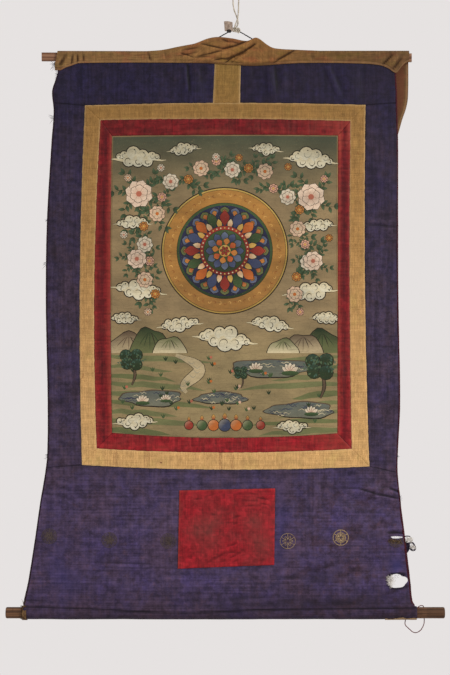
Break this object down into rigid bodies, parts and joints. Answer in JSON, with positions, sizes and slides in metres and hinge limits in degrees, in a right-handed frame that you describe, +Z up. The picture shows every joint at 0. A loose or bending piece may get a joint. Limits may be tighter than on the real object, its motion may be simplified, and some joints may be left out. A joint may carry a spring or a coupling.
{
  "type": "thangka scroll painting with batten and rod",
  "caption": "Painted cloth in a flared sewn silk mount on a top batten and bottom rod, its veil thrown back over the batten; hangs from a string loop.",
  "frame": {"origin": "underside of the top of the string loop, where it bears on its nail", "axes": "+Z up, +X to the viewer's right, +Y back towards the wall; the painted face looks along -Y"},
  "size_m": [0.877, 0.0306, 1.2832],
  "materials": {
    "blue_silk": "dark blue-violet satin, faded and slightly worn",
    "yellow_brocade": "old gold ribbed brocade, faded",
    "red_silk": "crimson damask silk, soft sheen",
    "painted_cloth": "matt mineral paint on primed cotton",
    "maroon_edging": "dark maroon silk binding",
    "veil_silk": "thin brown-gold silk",
    "batten_wood": "plain planed wood, worn",
    "rod_wood": "dark stained wood, handled",
    "dark_cord": "thin dark cord",
    "cream_string": "twisted cotton string",
    "maroon_cord": "thin maroon cord"
  },
  "bodies": {
    "root": {"batten": "batten_wood", "rod": "rod_wood", "painting": "painted_cloth", "red_top": "red_silk", "red_bottom": "red_silk", "red_left": "red_silk", "red_right": "red_silk", "yellow_top": "yellow_brocade", "yellow_bottom": "yellow_brocade", "yellow_left": "yellow_brocade", "yellow_right": "yellow_brocade", "centre_strip": "yellow_brocade", "blue_top_left": "blue_silk", "blue_top_right": "blue_silk", "blue_side_left": "blue_silk", "blue_side_right": "blue_silk", "blue_lower": "blue_silk", "door_patch": "red_silk", "edging_left": "maroon_edging", "edging_right": "maroon_edging", "veil": "veil_silk", "hanger_cord": "dark_cord", "hang_loop": "cream_string", "knot": "cream_string", "tape_end": "cream_string", "tie_loop": "maroon_cord"}
  },
  "joints": []
}
